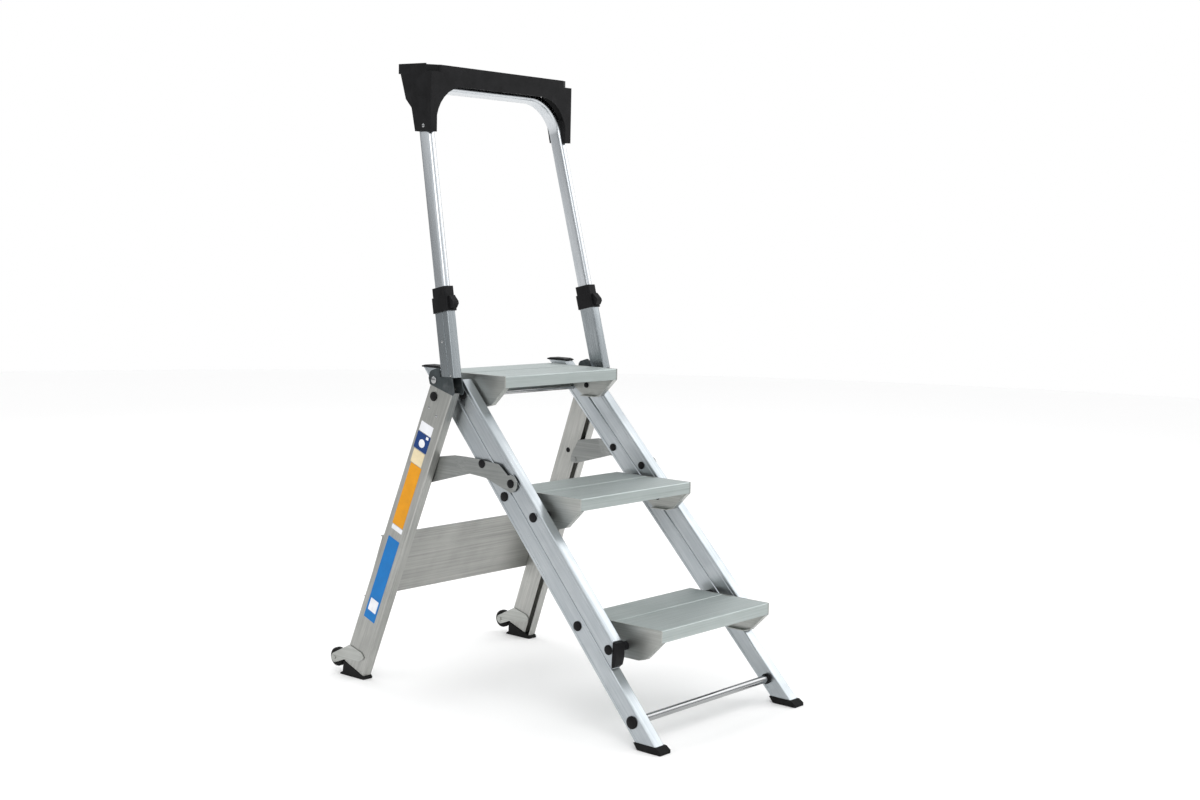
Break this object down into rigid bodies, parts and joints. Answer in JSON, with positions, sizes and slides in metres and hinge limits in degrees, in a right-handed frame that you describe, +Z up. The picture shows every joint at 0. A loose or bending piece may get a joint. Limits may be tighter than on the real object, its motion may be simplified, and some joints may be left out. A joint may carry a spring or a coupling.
{
  "type": "folding step stool",
  "caption": "Folding step stool with flat treads, a platform, splayed rear legs on castors and a fold-down handrail with a tool tray.",
  "frame": {"origin": "on the floor, at the middle of the footprint's bounding box, standing open", "axes": "+Z up, +X across the treads, to the right for someone climbing them, +Y from the front feet towards the rear legs"},
  "size_m": [0.5888, 0.9682, 1.402],
  "materials": {
    "rail_aluminium": "satin, drawn lengthwise",
    "leg_aluminium": "satin, slightly darker than the rails",
    "tread_aluminium": "matt with fine lengthwise ribs",
    "bracket_aluminium": "satin pressed plate",
    "bright_steel": "polished",
    "link_steel": "brushed plate",
    "hinge_plate": "matt slate grey coating",
    "foot_rubber": "matt black",
    "black_plastic": "fine-grained black"
  },
  "bodies": {
    "main_frame": {"main_rail_left": "rail_aluminium", "main_rail_right": "rail_aluminium", "rail_top_cap_left": "black_plastic", "rail_top_cap_right": "black_plastic", "front_foot_left": "foot_rubber", "front_foot_right": "foot_rubber", "cross_bar_lower": "bright_steel", "cross_bar_upper": "bright_steel"},
    "rear_frame": {"rear_leg_left": "leg_aluminium", "rear_leg_right": "leg_aluminium", "brace_panel": "leg_aluminium", "rear_foot_left": "foot_rubber", "rear_foot_right": "foot_rubber", "wheel_bracket_left": "link_steel", "wheel_bracket_right": "link_steel", "handrail_pin_left": "bright_steel", "handrail_pin_right": "bright_steel"},
    "front_rails": {"front_rail_left": "rail_aluminium", "front_rail_right": "rail_aluminium", "front_rail_plug_left": "black_plastic", "front_rail_plug_right": "black_plastic"},
    "links": {"link_plate_left": "link_steel", "link_plate_right": "link_steel", "link_rail_pin_left": "black_plastic", "link_rail_pin_right": "black_plastic", "link_front_pin_left": "black_plastic", "link_front_pin_right": "black_plastic"},
    "handrail": {"post_profile_left": "rail_aluminium", "post_profile_right": "rail_aluminium", "hinge_plate_inner_left": "hinge_plate", "hinge_plate_inner_right": "hinge_plate", "hinge_plate_outer_left": "hinge_plate", "hinge_plate_outer_right": "hinge_plate", "collar_left": "black_plastic", "collar_right": "black_plastic", "handrail_hoop": "rail_aluminium", "tool_tray": "black_plastic"},
    "wheel_left": {"wheel_left": "foot_rubber"},
    "wheel_right": {"wheel_right": "foot_rubber"},
    "step_lower": {"step_lower_tread": "tread_aluminium", "step_lower_bracket_left": "bracket_aluminium", "step_lower_bracket_right": "bracket_aluminium", "step_lower_rail_pin_left": "black_plastic", "step_lower_rail_pin_right": "black_plastic", "step_lower_front_pin_left": "black_plastic", "step_lower_front_pin_right": "black_plastic"},
    "step_upper": {"step_upper_tread": "tread_aluminium", "step_upper_bracket_left": "bracket_aluminium", "step_upper_bracket_right": "bracket_aluminium", "step_upper_rail_pin_left": "black_plastic", "step_upper_rail_pin_right": "black_plastic", "step_upper_front_pin_left": "black_plastic", "step_upper_front_pin_right": "black_plastic"},
    "platform": {"platform_tread": "tread_aluminium", "platform_bracket_left": "bracket_aluminium", "platform_bracket_right": "bracket_aluminium", "platform_rail_pin_left": "black_plastic", "platform_rail_pin_right": "black_plastic", "platform_front_pin_left": "black_plastic", "platform_front_pin_right": "black_plastic"}
  },
  "joints": [
    {"name": "rear_fold", "type": "hinge", "parent": "main_frame", "child": "rear_frame", "pos_m": [0, 0.16833, 0.66943], "axis": [-1, 0, 0], "range_deg": [0, 60]},
    {"name": "step_lower_fold", "type": "hinge", "parent": "main_frame", "child": "step_lower", "pos_m": [0, -0.2491, 0.2225], "axis": [-1, 0, 0], "range_deg": [0, 123]},
    {"name": "step_upper_fold", "type": "hinge", "parent": "main_frame", "child": "step_upper", "pos_m": [0, -0.0239, 0.466], "axis": [-1, 0, 0], "range_deg": [0, 123]},
    {"name": "platform_fold", "type": "hinge", "parent": "main_frame", "child": "platform", "pos_m": [0, 0.2013, 0.7095], "axis": [-1, 0, 0], "range_deg": [0, 123]},
    {"name": "link_fold", "type": "hinge", "parent": "main_frame", "child": "links", "pos_m": [0, 0.04055, 0.53127], "axis": [-1, 0, 0], "range_deg": [0, 123]},
    {"name": "front_rail_fold", "type": "hinge", "parent": "step_upper", "child": "front_rails", "pos_m": [0, -0.1104, 0.4315], "axis": [1, 0, 0], "range_deg": [0, 123]},
    {"name": "handrail_fold", "type": "hinge", "parent": "rear_frame", "child": "handrail", "pos_m": [0, 0.16534, 0.706], "axis": [1, 0, 0], "range_deg": [0, 33]},
    {"name": "wheel_left_spin", "type": "hinge", "parent": "rear_frame", "child": "wheel_left", "pos_m": [-0.2784, 0.46212, 0.035], "axis": [1, 0, 0], "continuous": true},
    {"name": "wheel_right_spin", "type": "hinge", "parent": "rear_frame", "child": "wheel_right", "pos_m": [0.2784, 0.46212, 0.035], "axis": [1, 0, 0], "continuous": true}
  ],
  "couplings": [
    {"joint": "step_lower_fold", "follows": "rear_fold", "ratio": 2.043},
    {"joint": "step_upper_fold", "follows": "rear_fold", "ratio": 2.043},
    {"joint": "platform_fold", "follows": "rear_fold", "ratio": 2.043},
    {"joint": "link_fold", "follows": "rear_fold", "ratio": 2.043},
    {"joint": "front_rail_fold", "follows": "rear_fold", "ratio": 2.043}
  ]
}
